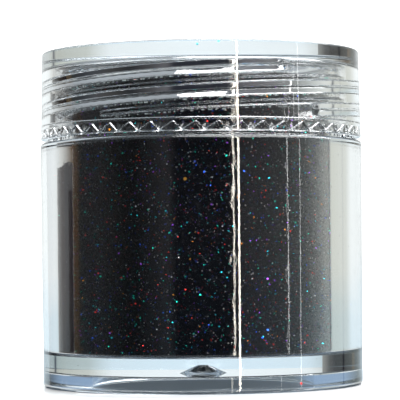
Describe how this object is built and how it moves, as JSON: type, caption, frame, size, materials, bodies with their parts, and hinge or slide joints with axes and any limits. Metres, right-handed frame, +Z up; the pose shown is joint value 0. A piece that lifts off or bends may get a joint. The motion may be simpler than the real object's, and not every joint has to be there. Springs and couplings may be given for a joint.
{
  "type": "clear screw-top cosmetic jar of loose glitter",
  "caption": "Thick-walled clear round jar with a clear screw lid, a sealing disc and a fill of fine dark loose glitter.",
  "frame": {"origin": "centre of the foot ring, on the surface that the jar stands on", "axes": "+Z up along the jar's axis of rotation, towards the lid"},
  "size_m": [0.03, 0.03, 0.0309],
  "materials": {
    "clear_jar": "clear, polished",
    "clear_lid": "clear, polished",
    "clear_seal": "clear film, satin",
    "dark_glitter": "near-black loose glitter with coloured sparkles"
  },
  "bodies": {
    "jar": {"jar_body": "clear_jar", "glitter_fill": "dark_glitter"},
    "seal": {"sealing_disc": "clear_seal"},
    "lid": {"screw_lid": "clear_lid"}
  },
  "joints": [
    {"name": "lid_rise", "type": "slide", "parent": "jar", "child": "seal", "axis": [0, 0, 1], "range_m": [0, 0.00829]},
    {"name": "lid_turn", "type": "hinge", "parent": "seal", "child": "lid", "pos_m": [0, 0, 0.0229], "axis": [0, 0, 1], "range_deg": [0, 720]}
  ],
  "couplings": [
    {"joint": "lid_rise", "follows": "lid_turn", "m_per_rad": 0.0006589}
  ]
}
